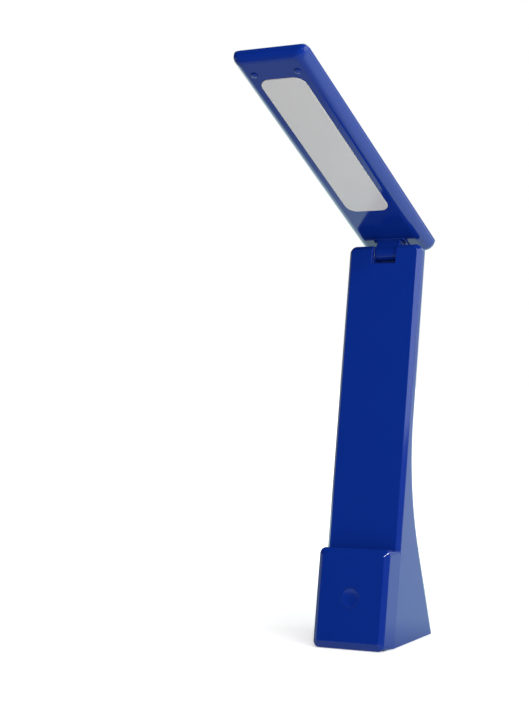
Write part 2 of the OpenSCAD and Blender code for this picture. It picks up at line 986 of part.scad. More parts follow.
module socket_pin() {
    color("gold")
        socket_frame() {
            disc(socket_pin_r, -socket_deep - 1, socket_flange_t - socket_pin_short);
            disc(2.4, -socket_deep - 1.8, -socket_deep - 0.05);
        }
}

module socket_nut() {
    color("silver")
        socket_frame()
            difference() {
                translate([0, 0, -wall - socket_nut_t - 0.02])
                    cylinder(r = socket_radius + 2, h = socket_nut_t, $fn = 6);
                disc(socket_radius + screw_slack, -wall - 5, 0);
            }
}

// Two leads from the charging socket to the main board
module socket_leads() {
    tail_back = foot_back - socket_height * sin(turn) - (socket_deep + 2.8) * cos(turn);
    tail_up = foot_rise + socket_height * cos(turn) - (socket_deep + 2.8) * sin(turn);
    color("firebrick")
        lean_frame()
            for (s = [-1, 1])
                tube([
                    [s * 1.1, tail_back, tail_up], [s * 3, tail_back - 2, tail_up - 0.6],
                    [s * 9, tail_back - 5, tail_up + 0.4], [s * 16, tail_back - 8, tail_up + 2],
                    [s * 20.5, tail_back - 11, tail_up + 3.4], [s * 20.5, tail_back - 18, tail_up + 4],
                    [s * 20.5, tail_back - 30, tail_up + 4.2], [s * 20, 19, tail_up + 4.6],
                    [s * 18, 14, tail_up + 6], [s * 17, 12, tail_up + 8],
                    [s * 16.6, 10.8, tail_up + 8.6]
                ], 0.7, [0.01, 0.01, 1]);
}

module stem_wires() {
    color("dimgray")
        lean_frame()
            tube(stem_route, wire_r, [0, 1, 0.01]);
}

// Hinge

module hinge_bracket() {
    color("silver")
        difference() {
            union() {
                translate([bracket_in, axis_back - 4.2, bracket_low])
                    cube([bracket_thickness, 7.8, axis_up + hinge_room - bracket_low]);
                translate([bracket_in, bracket_foot_back - bracket_thickness, bracket_low])
                    cube([bracket_screw_x + 3.1 - bracket_in, bracket_thickness, bracket_foot_top - bracket_low]);
            }
            translate([0, axis_back, axis_up])
                cross_disc(pin_radius + screw_slack, 0, big / 4);
            for (up = bracket_screws_up)
                translate([bracket_screw_x, 0, up])
                    deep_disc(shank_r + 0.15, 0, big / 4);
        }
}

module left_hinge_bracket() {
    lean_frame()
        mirror([1, 0, 0])
            hinge_bracket();
}

module right_hinge_bracket() {
    lean_frame()
        hinge_bracket();
}

module bracket_screws() {
    color("silver")
        lean_frame()
            each_side()
                for (up = bracket_screws_up)
                    translate([bracket_screw_x, bracket_foot_back - bracket_thickness, up])
                        rotate([-90, 0, 0])
                            screw(bracket_screw_l);
}

module hinge_pin() {
    color("lightgray")
        lean_frame()
            translate([0, axis_back, axis_up])
                difference() {
                    union() {
                        cross_disc(pin_radius, -bracket_out - 0.5, pin_end);
                        cross_disc(hinge_room, -bracket_out - face_gap - collar_t, -bracket_out - face_gap);
                    }
                    cross_disc(pin_bore, -bracket_out - 5, pin_end + 1);
                    translate([-3.5, -5, 0.3 - pin_radius * 0.85])
                        cube([7, 10, 10]);
                }
}

module friction_washers() {
    color("white")
        lean_frame()
            translate([0, axis_back, axis_up])
                each_side()
                    difference() {
                        cross_disc(barrel_radius - 0.6, knuckle_half + face_gap, knuckle_half + face_gap + washer_t);
                        cross_disc(pin_radius + pin_clearance, 0, 20);
                    }
}

module spring_washer() {
    color("gray")
        lean_frame()
            translate([0, axis_back, axis_up])
                difference() {
                    cross_disc(hinge_room, bracket_out + face_gap, bracket_out + face_gap + spring_washer_t);
                    cross_disc(pin_radius + pin_clearance, 0, 20);
                }
}

module hinge_nut() {
    color("silver")
        lean_frame()
            translate([0, axis_back, axis_up])
                difference() {
                    translate([nut_in, 0, 0])
                        rotate([0, 90, 0])
                            cylinder(r = hinge_room, h = nut_t, $fn = 6);
                    cross_disc(pin_radius + screw_slack, 0, 20);
                }
}

// Head, drawn folded and turned open by head_pose()

module hinge_knuckle() {
    flange_back = head_thickness + flange_thickness;
    color("mediumblue")
        head_pose()
            difference() {
                union() {
                    translate([0, axis_back, axis_up])
                        cross_disc(barrel_radius, -knuckle_half, knuckle_half);
                    translate([-knuckle_half, flange_back - 0.2, axis_up - neck_thickness / 2])
                        cube([2 * knuckle_half, axis_back - flange_back + 0.2, neck_thickness]);
                    along_depth(head_thickness, flange_back)
                        translate([0, axis_up])
                            round_rect(flange_width, flange_height, 3);
                }
                translate([0, axis_back, axis_up])
                    cross_disc(pin_radius + pin_clearance, -20, 20);
                translate([0, 0, axis_up])
                    deep_disc(wire_hole_r, head_thickness - 1, axis_back);
                each_side()
                    translate([knuckle_screw_x, 0, axis_up])
                        deep_disc(shank_r + screw_slack, head_thickness - 1, axis_back - pin_radius - 0.9);
            }
}

module knuckle_screws() {
    color("silver")
        head_pose()
            each_side()
                translate([knuckle_screw_x, inner_back, axis_up])
                    rotate([-90, 0, 0])
                        screw(axis_back - pin_radius - 1.2 - inner_back);
}

module head_outer_shell() {
    color("mediumblue")
        head_pose()
            difference() {
                union() {
                    difference() {
                        head_outside(0, head_seam);
                        head_inside(0, head_seam + 1);
                    }
                    each_side() {
                        translate([bumper_spacing / 2, 0, bumper_up])
                            deep_disc(boss_r, head_wall - 0.5, head_seam);
                        for (s = [-1, 1])
                            translate([led_board_w / 2 - 2.5, 0, diffuser_mid + s * (led_board_l / 2 - led_screw_inset)])
                                deep_disc(2, head_wall - 0.5, led_board_front);
                    }
                    for (s = [-1, 0, 1])
                        translate([0, 0, diffuser_mid + s * led_board_l / 3])
                            deep_disc(2, head_wall - 0.5, led_board_front);
                }
                each_side() {
                    translate([bumper_spacing / 2, 0, bumper_up])
                        deep_disc(shank_r + screw_slack, head_wall, big / 4);
                    for (s = [-1, 1])
                        translate([led_board_w / 2 - 2.5, 0, diffuser_mid + s * (led_board_l / 2 - led_screw_inset)])
                            deep_disc(0.7 + screw_slack, 0.9, big / 4);
                }
            }
}

module head_inner_shell() {
    color("mediumblue")
        head_pose()
            difference() {
                union() {
                    difference() {
                        head_outside(head_seam, head_thickness);
                        head_inside(head_seam - 1, inner_back);
                    }
                    each_side()
                        translate([bumper_spacing / 2, 0, bumper_up])
                            deep_disc(boss_r + 0.6, head_seam, inner_back + 0.5);
                }
                along_depth(0, big / 4)
                    translate([0, diffuser_mid])
                        round_rect(diffuser_width + 2 * slack, diffuser_length + 2 * slack, diffuser_corner + slack);
                each_side() {
                    translate([bumper_spacing / 2, 0, bumper_up]) {
                        deep_disc(shank_r + 0.1, 0, big / 4);
                        deep_disc(bumper_radius + 0.1, tip_screw_seat, big / 4);
                    }
                    translate([knuckle_screw_x, 0, axis_up])
                        deep_disc(shank_r + 0.1, 0, big / 4);
                }
                translate([0, 0, axis_up])
                    deep_disc(wire_hole_r, 0, big / 4);
            }
}

module tip_screws() {
    color("silver")
        head_pose()
            each_side()
                translate([bumper_spacing / 2, tip_screw_seat, bumper_up])
                    rotate([90, 0, 0])
                        screw(tip_screw_seat - head_wall - 0.3);
}

module tip_bumpers() {
    color("mediumblue")
        head_pose()
            each_side()
                translate([bumper_spacing / 2, 0, bumper_up]) {
                    deep_disc(bumper_radius, tip_screw_seat + head_h + face_gap, head_thickness + bumper_height - 0.4);
                    deep_disc(bumper_radius - 0.4, head_thickness, head_thickness + bumper_height);
                }
}

module diffuser() {
    flange_w = diffuser_width + 2 * diffuser_flange;
    flange_l = diffuser_length + 2 * diffuser_flange;
    color("whitesmoke")
        head_pose()
            translate([0, 0, diffuser_mid]) {
                along_depth(diffuser_seat - diffuser_flange_t, head_thickness + diffuser_proud)
                    round_rect(diffuser_width, diffuser_length, diffuser_corner);
                along_depth(diffuser_seat - diffuser_flange_t, diffuser_seat)
                    round_rect(flange_w, flange_l, diffuser_corner + diffuser_flange);
            }
}

module light_reflector() {
    w = diffuser_width + 2 * diffuser_flange;
    l = diffuser_length + 2 * diffuser_flange;
    color("white")
        head_pose()
            along_depth(led_board_back, diffuser_seat - diffuser_flange_t - face_gap)
                translate([0, diffuser_mid])
                    difference() {
                        round_rect(w, l, diffuser_corner + diffuser_flange);
                        round_rect(w - 2.4, l - 2.4, diffuser_corner + diffuser_flange - 1.2);
                        each_side()
                            for (s = [-1, 1])
                                translate([led_board_w / 2 - 2.5, s * (led_board_l / 2 - led_screw_inset)])
                                    circle(2);
                        translate([0, l / 2])
                            square([2.4, 6], center = true);
                    }
}

module led_board() {
    color("white")
        head_pose()
            along_depth(led_board_front, led_board_back)
                translate([0, diffuser_mid])
                    difference() {
                        square([led_board_w, led_board_l], center = true);
                        each_side()
                            for (s = [-1, 1])
                                translate([led_board_w / 2 - 2.5, s * (led_board_l / 2 - led_screw_inset)])
                                    circle(0.85);
                    }
}

module leds() {
    pitch = diffuser_length / led_columns;
    row_gap = diffuser_width / led_rows;
    color("khaki")
        head_pose()
            for (i = [0 : led_columns - 1], j = [0 : led_rows - 1])
                translate([
                    (j - (led_rows - 1) / 2) * row_gap * 0.8, led_board_back + 0.4,
                    diffuser_mid + (i - (led_columns - 1) / 2) * pitch * 0.94
                ])
                    cube([2.8, 0.8, 3.5], center = true);
}

module led_board_screws() {
    color("silver")
        head_pose()
            each_side()
                for (s = [-1, 1])
                    translate([led_board_w / 2 - 2.5, led_board_back, diffuser_mid + s * (led_board_l / 2 - led_screw_inset)])
                        rotate([90, 0, 0]) {
                            disc(1.5, -0.9, 0);
                            disc(0.7, -0.01, 3.4);
                        }
}

module head_wires() {
    color("dimgray")
        head_pose()
            tube(head_route, head_wire_r, [1, 0, 0.01]);
}

front_cover();
rear_cover();
bottom_plate();
foot_pad();
base_screws();
steel_weight();
battery_cell();
battery_strap();
strap_screws();
battery_leads();
main_board();
board_components();
board_screws();
switch_body();
switch_plunger();
power_button();
charge_socket();
socket_pin();
socket_nut();
socket_leads();
stem_wires();
left_hinge_bracket();
right_hinge_bracket();
bracket_screws();
hinge_pin();
friction_washers();
spring_washer();
hinge_nut();
hinge_knuckle();
knuckle_screws();
head_outer_shell();
head_inner_shell();
tip_screws();
tip_bumpers();
diffuser();
light_reflector();
led_board();
leds();
led_board_screws();
head_wires();
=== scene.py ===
import json
import math

import bpy
from mathutils import Euler, Matrix, Vector


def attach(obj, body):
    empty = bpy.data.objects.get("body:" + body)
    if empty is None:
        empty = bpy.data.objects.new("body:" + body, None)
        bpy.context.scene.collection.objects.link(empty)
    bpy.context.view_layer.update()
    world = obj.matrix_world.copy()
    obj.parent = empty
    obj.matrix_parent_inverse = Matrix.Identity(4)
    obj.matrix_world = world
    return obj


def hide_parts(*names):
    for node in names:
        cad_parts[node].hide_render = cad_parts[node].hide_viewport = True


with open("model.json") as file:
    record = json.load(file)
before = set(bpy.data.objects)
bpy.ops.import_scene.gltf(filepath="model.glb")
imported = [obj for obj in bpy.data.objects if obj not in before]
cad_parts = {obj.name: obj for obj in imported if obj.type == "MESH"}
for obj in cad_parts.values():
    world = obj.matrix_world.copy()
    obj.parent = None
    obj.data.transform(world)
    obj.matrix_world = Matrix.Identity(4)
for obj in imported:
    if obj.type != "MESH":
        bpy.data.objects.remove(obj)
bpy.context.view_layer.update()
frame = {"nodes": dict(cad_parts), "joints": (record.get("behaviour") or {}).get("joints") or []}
nodes = frame["nodes"]
hinge = next(joint for joint in frame["joints"] if joint["name"] == "head_hinge")
print("frame loaded")

mm = 0.001

# how the stand leans, and how far its pad lifts it off the desk
stand = {"lean": math.radians(12.4), "footDepth": 79.6 * mm, "padRise": 0.5 * mm}


def leanPlace():
    # the frame whose y runs back from the foot's front face and whose z runs up along it
    shift = Matrix.Translation((0, -stand["footDepth"] / 2, stand["padRise"]))
    return shift @ Matrix.Rotation(-stand["lean"], 4, "X")


def headPlace():
    # the head as it lies folded in the lean frame, turned open about the hinge
    centre = Matrix.Translation(hinge["pos_m"])
    opened = Matrix.Rotation(math.radians(hinge["range_deg"][0]), 4, "X")
    return centre @ opened @ centre.inverted() @ leanPlace()


# the camera, where the photograph's edge lines put it
cameraPlace = {
    "position": (0.554143, -1.078744, 0.233904),
    "angles": (88.0503, 1.5795, 30.3877),
    "lens": 89.267,
    "sensor": 36.0,
    "clip": (0.05, 20.0),
}


def placeCamera():
    data = bpy.data.cameras.new("photoCamera")
    data.lens = cameraPlace["lens"]
    data.sensor_width = cameraPlace["sensor"]
    data.clip_start, data.clip_end = cameraPlace["clip"]
    camera = bpy.data.objects.new("photoCamera", data)
    bpy.context.scene.collection.objects.link(camera)
    turn = Euler([math.radians(angle) for angle in cameraPlace["angles"]])
    camera.matrix_world = Matrix.LocRotScale(Vector(cameraPlace["position"]), turn, None)
    bpy.context.scene.camera = camera


placeCamera()
print("camera placed")


# small helpers for node trees
def newNode(tree, kind, **settings):
    node = tree.nodes.new(kind)
    for key, value in settings.items():
        setattr(node, key, value)
    return node


def feed(tree, socket, value):
    # a socket takes another node's output or a plain value
    if isinstance(value, bpy.types.NodeSocket):
        tree.links.new(value, socket)
    else:
        socket.default_value = value


def noiseAt(tree, coords, scale, detail):
    noise = newNode(tree, "ShaderNodeTexNoise")
    feed(tree, noise.inputs["Vector"], coords)
    feed(tree, noise.inputs["Scale"], scale)
    feed(tree, noise.inputs["Detail"], detail)
    return noise.outputs["Fac"]


def spread(tree, source, low, high, start=0.0, end=1.0, easing="LINEAR"):
    ranged = newNode(tree, "ShaderNodeMapRange", interpolation_type=easing)
    feed(tree, ranged.inputs["Value"], source)
    feed(tree, ranged.inputs["From Min"], start)
    feed(tree, ranged.inputs["From Max"], end)
    feed(tree, ranged.inputs["To Min"], low)
    feed(tree, ranged.inputs["To Max"], high)
    return ranged.outputs["Result"]


def fade(tree, source, levels, reach):
    # goes softly from one level to the other along the reach
    return spread(tree, source, *levels, *reach, easing="SMOOTHSTEP")


def mathNode(tree, operation, first, second):
    node = newNode(tree, "ShaderNodeMath", operation=operation)
    feed(tree, node.inputs[0], first)
    feed(tree, node.inputs[1], second)
    return node.outputs[0]


def along(tree, coords, way):
    # how far a place or a direction goes the given way
    node = newNode(tree, "ShaderNodeVectorMath", operation="DOT_PRODUCT")
    feed(tree, node.inputs[0], coords)
    feed(tree, node.inputs[1], way)
    return node.outputs["Value"]


def mixColors(tree, factor, first, second):
    mix = newNode(tree, "ShaderNodeMix", data_type="RGBA")
    for i, value in ((0, factor), (6, first), (7, second)):  # the sockets that take colours
        feed(tree, mix.inputs[i], value)
    return mix.outputs[2]


# shared surface effects, which put out a colour, a roughness and a normal
def makeEffect(name, inputs):
    group = bpy.data.node_groups.new(name, "ShaderNodeTree")
    for label, kind, value in inputs:
        socket = group.interface.new_socket(name=label, in_out="INPUT", socket_type=kind)
        socket.default_value = value
    for label, kind in (
        ("Color", "NodeSocketColor"),
        ("Roughness", "NodeSocketFloat"),
        ("Normal", "NodeSocketVector"),
    ):
        group.interface.new_socket(name=label, in_out="OUTPUT", socket_type=kind)
    return group, newNode(group, "NodeGroupInput"), newNode(group, "NodeGroupOutput")


def closeEffect(group, enter, leave, shade, lift, height, depth):
    # the colour is scaled by the shade, the roughness lifted, and the surface bumped
    shaded = newNode(group, "ShaderNodeVectorMath", operation="SCALE")
    feed(group, shaded.inputs[0], enter.outputs["Color"])
    feed(group, shaded.inputs["Scale"], shade)
    feed(group, leave.inputs["Color"], shaded.outputs[0])
    rough = mathNode(group, "ADD", enter.outputs["Roughness"], lift)
    feed(group, leave.inputs["Roughness"], rough)
    bump = newNode(group, "ShaderNodeBump")
    feed(group, bump.inputs["Strength"], 1.0)
    feed(group, bump.inputs["Distance"], depth)
    feed(group, bump.inputs["Height"], height)
    feed(group, leave.inputs["Normal"], bump.outputs["Normal"])


skin = {"cloudScale": 22.0, "cloudDetail": 2.0, "grainDetail": 3.0, "roughReach": 4.0}


def mouldedSkin():
    # the soft unevenness that a moulded plastic or rubber skin has
    inputs = [
        ("Color", "NodeSocketColor", (0.5, 0.5, 0.5, 1)),
        ("Shade Spread", "NodeSocketFloat", 0.05),
        ("Roughness", "NodeSocketFloat", 0.3),
        ("Roughness Spread", "NodeSocketFloat", 0.04),
        ("Grain Scale", "NodeSocketFloat", 400.0),
        ("Grain Depth", "NodeSocketFloat", 0.02 * mm),
    ]
    group, enter, leave = makeEffect("mouldedSkin", inputs)
    coords = newNode(group, "ShaderNodeTexCoord").outputs["Object"]
    clouds = noiseAt(group, coords, skin["cloudScale"], skin["cloudDetail"])
    grain = noiseAt(group, coords, enter.outputs["Grain Scale"], skin["grainDetail"])
    low = mathNode(group, "SUBTRACT", 1.0, enter.outputs["Shade Spread"])
    high = mathNode(group, "ADD", 1.0, enter.outputs["Shade Spread"])
    shade = spread(group, clouds, low, high)
    mixed = mathNode(group, "MULTIPLY", mathNode(group, "ADD", clouds, grain), 0.5)
    centred = mathNode(group, "SUBTRACT", mixed, 0.5)
    reach = mathNode(group, "MULTIPLY", enter.outputs["Roughness Spread"], skin["roughReach"])
    lift = mathNode(group, "MULTIPLY", centred, reach)
    closeEffect(group, enter, leave, shade, lift, grain, enter.outputs["Grain Depth"])
    return group


drawn = {"shade": (0.82, 1.12), "detail": 4.0, "roughReach": 0.3, "depth": 0.008 * mm}


def drawnGrain():
    # fine lines that drawing or rolling leaves in metal
    inputs = [
        ("Color", "NodeSocketColor", (0.6, 0.6, 0.6, 1)),
        ("Roughness", "NodeSocketFloat", 0.3),
        ("Line Scale", "NodeSocketFloat", 900.0),
        ("Stretch", "NodeSocketFloat", 0.06),
    ]
    group, enter, leave = makeEffect("drawnGrain", inputs)
    coords = newNode(group, "ShaderNodeTexCoord").outputs["Object"]
    squeeze = newNode(group, "ShaderNodeCombineXYZ")
    feed(group, squeeze.inputs["X"], 1.0)
    feed(group, squeeze.inputs["Y"], 1.0)
    feed(group, squeeze.inputs["Z"], enter.outputs["Stretch"])
    scaled = newNode(group, "ShaderNodeVectorMath", operation="MULTIPLY")
    feed(group, scaled.inputs[0], coords)
    feed(group, scaled.inputs[1], squeeze.outputs[0])
    lines = noiseAt(group, scaled.outputs[0], enter.outputs["Line Scale"], drawn["detail"])
    shade = spread(group, lines, *drawn["shade"])
    centred = mathNode(group, "SUBTRACT", lines, 0.5)
    lift = mathNode(group, "MULTIPLY", centred, drawn["roughReach"])
    closeEffect(group, enter, leave, shade, lift, lines, drawn["depth"])
    return group


skinEffect = mouldedSkin()
grainEffect = drawnGrain()


def surface(name, effect, values, shader):
    material = bpy.data.materials.new(name)
    material.use_nodes = True
    tree = material.node_tree
    principled = tree.nodes["Principled BSDF"]
    group = newNode(tree, "ShaderNodeGroup", node_tree=effect)
    for label, value in values.items():
        group.inputs[label].default_value = value
    feed(tree, principled.inputs["Base Color"], group.outputs["Color"])
    feed(tree, principled.inputs["Roughness"], group.outputs["Roughness"])
    feed(tree, principled.inputs["Normal"], group.outputs["Normal"])
    for label, value in shader.items():
        principled.inputs[label].default_value = value
    material.diffuse_color = values["Color"]
    return material


def plastic(name, color, rough, grain, depth, shade=0.04, roughSpread=0.03, **shader):
    values = {
        "Color": (*color, 1),
        "Shade Spread": shade,
        "Roughness": rough,
        "Roughness Spread": roughSpread,
        "Grain Scale": grain,
        "Grain Depth": depth,
    }
    return surface(name, skinEffect, values, shader)


def metal(name, color, rough, stretch=0.06):
    values = {"Color": (*color, 1), "Roughness": rough, "Line Scale": 900.0, "Stretch": stretch}
    return surface(name, grainEffect, values, {"Metallic": 1.0})


# each plastic has its colour, its roughness, how many grains it has and how deep they are
finishes = {
    "gloss": plastic("glossBluePlastic", (0.0026, 0.0205, 0.205), 0.1, 260, 0.006 * mm,
                     shade=0.03, roughSpread=0.02, IOR=1.5),
    "under": plastic("darkPlatePlastic", (0.012, 0.02, 0.09), 0.45, 1400, 0.02 * mm),
    "black": plastic("blackPlastic", (0.02, 0.02, 0.021), 0.42, 1500, 0.02 * mm),
    "white": plastic("whitePlastic", (0.82, 0.82, 0.8), 0.4, 900, 0.01 * mm),
    "diffuser": plastic("milkyDiffuser", (0.57, 0.55, 0.556), 0.2, 1800, 0.006 * mm,
                        shade=0.012, roughSpread=0.02, IOR=1.49),
    "rubber": plastic("softRubber", (0.03, 0.03, 0.034), 0.78, 1900, 0.05 * mm,
                      shade=0.1, roughSpread=0.05),
    "blueRubber": plastic("blueRubber", (0.004, 0.024, 0.2), 0.3, 900, 0.01 * mm),
    "wrap": plastic("cellWrap", (0.05, 0.25, 0.16), 0.3, 300, 0.01 * mm),
    "board": plastic("greenBoard", (0.02, 0.13, 0.055), 0.35, 700, 0.03 * mm, shade=0.2),
    "whiteBoard": plastic("whiteBoard", (0.8, 0.8, 0.79), 0.38, 700, 0.01 * mm),
    "phosphor": plastic("yellowPhosphor", (0.8, 0.62, 0.12), 0.5, 3000, 0.03 * mm, shade=0.1),
    "sleeve": plastic("wireSleeve", (0.22, 0.02, 0.02), 0.45, 800, 0.01 * mm),
    "steel": metal("platedSteel", (0.62, 0.62, 0.63), 0.28),
    "weight": metal("rawSteel", (0.36, 0.36, 0.37), 0.45, stretch=0.2),
    "brass": metal("brassContact", (0.72, 0.53, 0.22), 0.25),
}

# what isn't named here is a screw, a nut or a hinge part of plated steel
finishedNodes = {
    "gloss": ("front_cover", "rear_cover", "power_button", "hinge_knuckle",
              "head_outer_shell", "head_inner_shell"),
    "under": ("bottom_plate",),
    "rubber": ("foot_pad",),
    "blueRubber": ("tip_bumpers",),
    "wrap": ("battery_cell",),
    "black": ("battery_strap", "board_components", "switch_body", "switch_plunger",
              "charge_socket"),
    "sleeve": ("battery_leads", "socket_leads", "stem_wires", "head_wires"),
    "board": ("main_board",),
    "brass": ("socket_pin",),
    "diffuser": ("diffuser",),
    "white": ("light_reflector", "friction_washers"),
    "whiteBoard": ("led_board",),
    "phosphor": ("leds",),
    "weight": ("steel_weight",),
}


def dressNodes():
    finishOf = {name: finish for finish, names in finishedNodes.items() for name in names}
    for name, obj in nodes.items():
        obj.data.materials.clear()
        obj.data.materials.append(finishes[finishOf.get(name, "steel")])


dressNodes()
print("finishes made")


# modelling helpers
def selectOnly(obj):
    bpy.ops.object.select_all(action="DESELECT")
    obj.select_set(True)
    bpy.context.view_layer.objects.active = obj


def applyModifiers(obj):
    selectOnly(obj)
    for modifier in list(obj.modifiers):
        bpy.ops.object.modifier_apply(modifier=modifier.name)


edgeRoom = 1.1  # how many radii wide a face beside a rounded edge has to be


def softenEdges(obj, radius, segments, sharp):
    # every sharp edge is rounded, unless a face beside it is too narrow for that
    mesh = obj.data
    beside = {}
    for face in mesh.polygons:
        for key in face.edge_keys:
            beside.setdefault(key, []).append(face)
    weights = mesh.attributes.new("bevel_weight_edge", "FLOAT", "EDGE")
    for edge in mesh.edges:
        faces = beside.get(edge.key, ())
        if len(faces) != 2 or faces[0].normal.angle(faces[1].normal, 0) < math.radians(sharp):
            continue
        first, second = (mesh.vertices[i].co for i in edge.key)
        narrowest = min(face.area for face in faces) / max((first - second).length, 0.001 * mm)
        weights.data[edge.index].value = 1.0 if narrowest > edgeRoom * radius else 0.0
    bevel = obj.modifiers.new("softEdges", "BEVEL")
    bevel.width = radius
    bevel.segments = segments
    bevel.limit_method = "WEIGHT"
    bevel.use_clamp_overlap = False
    bevel.miter_outer = "MITER_ARC"
    applyModifiers(obj)


def settleNormals(obj, sharp=35):
    selectOnly(obj)
    bpy.ops.object.shade_smooth_by_angle(angle=math.radians(sharp))
    weighted = obj.modifiers.new("flatFaces", "WEIGHTED_NORMAL")
    weighted.keep_sharp = True
    weighted.weight = 100
    applyModifiers(obj)


merging = {"distance": 0.001 * mm, "flatAngle": math.radians(0.4)}


def mergedCopy(nodeName, pieceName):
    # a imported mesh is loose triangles, so its copy is joined up and its flat faces made whole
    obj = bpy.data.objects.new(pieceName, nodes[nodeName].data.copy())
    bpy.context.scene.collection.objects.link(obj)
    selectOnly(obj)
    bpy.ops.object.mode_set(mode="EDIT")
    bpy.ops.mesh.select_all(action="SELECT")
    bpy.ops.mesh.remove_doubles(threshold=merging["distance"])
    bpy.ops.mesh.dissolve_limited(angle_limit=merging["flatAngle"])
    bpy.ops.object.mode_set(mode="OBJECT")
    return obj


def finishPiece(obj, finish, body, replaced):
    obj.data.materials.clear()
    obj.data.materials.append(finishes[finish])
    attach(obj, body)
    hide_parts(replaced)


def softCopy(nodeName, name, body, finish, slot, radius, segments=2, sharp=40):
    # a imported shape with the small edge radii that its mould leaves
    piece = mergedCopy(nodeName, name)
    softenEdges(piece, radius, segments, sharp)
    settleNormals(piece)
    finishPiece(piece, finish, body, nodeName)
    print("softened", name)


outerShells = {
    "front_cover": {"name": "frontCasing", "body": "stand", "radius": 0.28 * mm},
    "rear_cover": {"name": "rearCasing", "body": "stand", "radius": 0.28 * mm},
    "head_outer_shell": {"name": "headBackShell", "body": "head", "radius": 0.3 * mm},
    "head_inner_shell": {"name": "headLightShell", "body": "head", "radius": 0.25 * mm},
    "hinge_knuckle": {"name": "hingeKnuckle", "body": "head", "radius": 0.35 * mm},
}

for nodeName, shell in outerShells.items():
    softCopy(nodeName, finish="gloss", slot="blue_plastic", sharp=28, **shell)


# turned pieces: a single point is drawn out along the (radius, height) profile and spun
def spunPiece(name, profile, steps, place):
    points = [(max(0, radius) * mm, height * mm) for radius, height in profile]
    bpy.ops.object.select_all(action="DESELECT")
    bpy.ops.mesh.primitive_plane_add(size=1 * mm, location=(0, 0, 0))
    obj = bpy.context.object
    obj.name = name
    bpy.ops.object.mode_set(mode="EDIT")
    bpy.ops.mesh.select_all(action="SELECT")
    bpy.ops.mesh.merge(type="CENTER")
    bpy.ops.transform.translate(value=(points[0][0], 0, points[0][1]))
    for (r0, z0), (r1, z1) in zip(points, points[1:]):
        step = {"value": (r1 - r0, 0, z1 - z0)}
        bpy.ops.mesh.extrude_vertices_move(TRANSFORM_OT_translate=step)
    bpy.ops.mesh.select_all(action="SELECT")
    bpy.ops.mesh.spin(steps=steps, angle=math.tau, center=(0, 0, 0), axis=(0, 0, 1))
    bpy.ops.mesh.select_all(action="SELECT")
    bpy.ops.mesh.remove_doubles(threshold=0.002 * mm)
    bpy.ops.mesh.normals_make_consistent(inside=False)
    bpy.ops.object.mode_set(mode="OBJECT")
    obj.data.transform(place)
    return obj


def arcPoints(centre, radius, start, end, count):
    points = []
    for i in range(count):
        angle = math.radians(start + (end - start) * i / (count - 1))
        points.append((centre[0] + radius * math.cos(angle), centre[1] + radius * math.sin(angle)))
    return points


# in millimetres; heights run out of the foot's front face, so the cap's back is below 0
button = {
    "up": 34.5,
    "radius": 6.9,
    "dish": 1.0,
    "dishPoints": 22,
    "lip": 0.28,
    "lipPoints": 6,
    "wall": 2.2,
    "play": 0.2,
    "flange": 8.35,
    "flangeThickness": 1.0,
    "stem": 2.2,
    "reach": 4.9,
    "steps": 96,
}


def powerButton():
    radius, lip, deep = button["radius"], button["lip"], button["dish"]
    edge = radius - 2 * lip
    dishRadius = (edge * edge + deep ** 2) / (2 * deep)
    swing = math.degrees(math.asin(edge / dishRadius))
    dish = arcPoints((0, dishRadius - deep), dishRadius, -90, -90 + swing, button["dishPoints"])
    rim = arcPoints((radius - lip, -lip), lip, 90, 0, button["lipPoints"])
    flangeTop = -button["wall"] - button["play"]
    flangeBack = flangeTop - button["flangeThickness"]
    body = [
        (radius, flangeTop),
        (button["flange"], flangeTop),
        (button["flange"], flangeBack),
        (button["stem"], flangeBack),
        (button["stem"], -button["reach"]),
        (0, -button["reach"]),
    ]
    outwards = Matrix.Rotation(math.radians(90), 4, "X")
    place = leanPlace() @ Matrix.Translation((0, 0, button["up"] * mm)) @ outwards
    cap = spunPiece("buttonCap", dish + rim + body, button["steps"], place)
    settleNormals(cap, 40)
    finishPiece(cap, "gloss", "button", "power_button")


powerButton()

# in millimetres; heights run back from the folded head's outer face to its lit one and past it
bumpers = {
    "up": 86.5,
    "spacing": 31.0,
    "radius": 2.1,
    "seat": 8.95,
    "face": 10.7,
    "rise": 0.5,
    "round": 0.35,
    "top": 12.1,
    "crownRadius": 2.6,
    "crownReach": 1.35,
    "steps": 48,
}


def tipBumpers():
    radius, soft, crown = bumpers["radius"], bumpers["round"], bumpers["crownRadius"]
    shoulder = bumpers["face"] + bumpers["rise"]
    swing = math.degrees(math.asin(bumpers["crownReach"] / crown))
    profile = [(0, bumpers["seat"]), (radius, bumpers["seat"])]
    profile += arcPoints((radius - soft, shoulder), soft, 0, 60, 5)
    profile += arcPoints((0, bumpers["top"] - crown), crown, 90 - swing, 90, 8)
    outwards = Matrix.Rotation(math.radians(-90), 4, "X")
    domes = []
    for side in (-1, 1):
        across = side * bumpers["spacing"] / 2
        spot = Matrix.Translation((across * mm, 0, bumpers["up"] * mm))
        place = headPlace() @ spot @ outwards
        domes.append(spunPiece("bumperDomes", profile, bumpers["steps"], place))
    selectOnly(domes[0])
    domes[1].select_set(True)
    bpy.ops.object.join()
    settleNormals(domes[0], 40)
    finishPiece(domes[0], "blueRubber", "head", "tip_bumpers")


tipBumpers()

trimPieces = {
    "diffuser": {
        "name": "lightPanel", "body": "head", "finish": "diffuser", "slot": "light_diffuser",
        "radius": 0.22 * mm, "segments": 3,
    },
    "charge_socket": {
        "name": "chargeSocket", "body": "stand", "finish": "black", "slot": "black_plastic",
        "radius": 0.15 * mm,
    },
    "foot_pad": {
        "name": "gripPad", "body": "stand", "finish": "rubber", "slot": "soft_rubber",
        "radius": 0.3 * mm,
    },
    "bottom_plate": {
        "name": "footPlate", "body": "stand", "finish": "under", "slot": "dark_plastic",
        "radius": 0.2 * mm,
    },
}

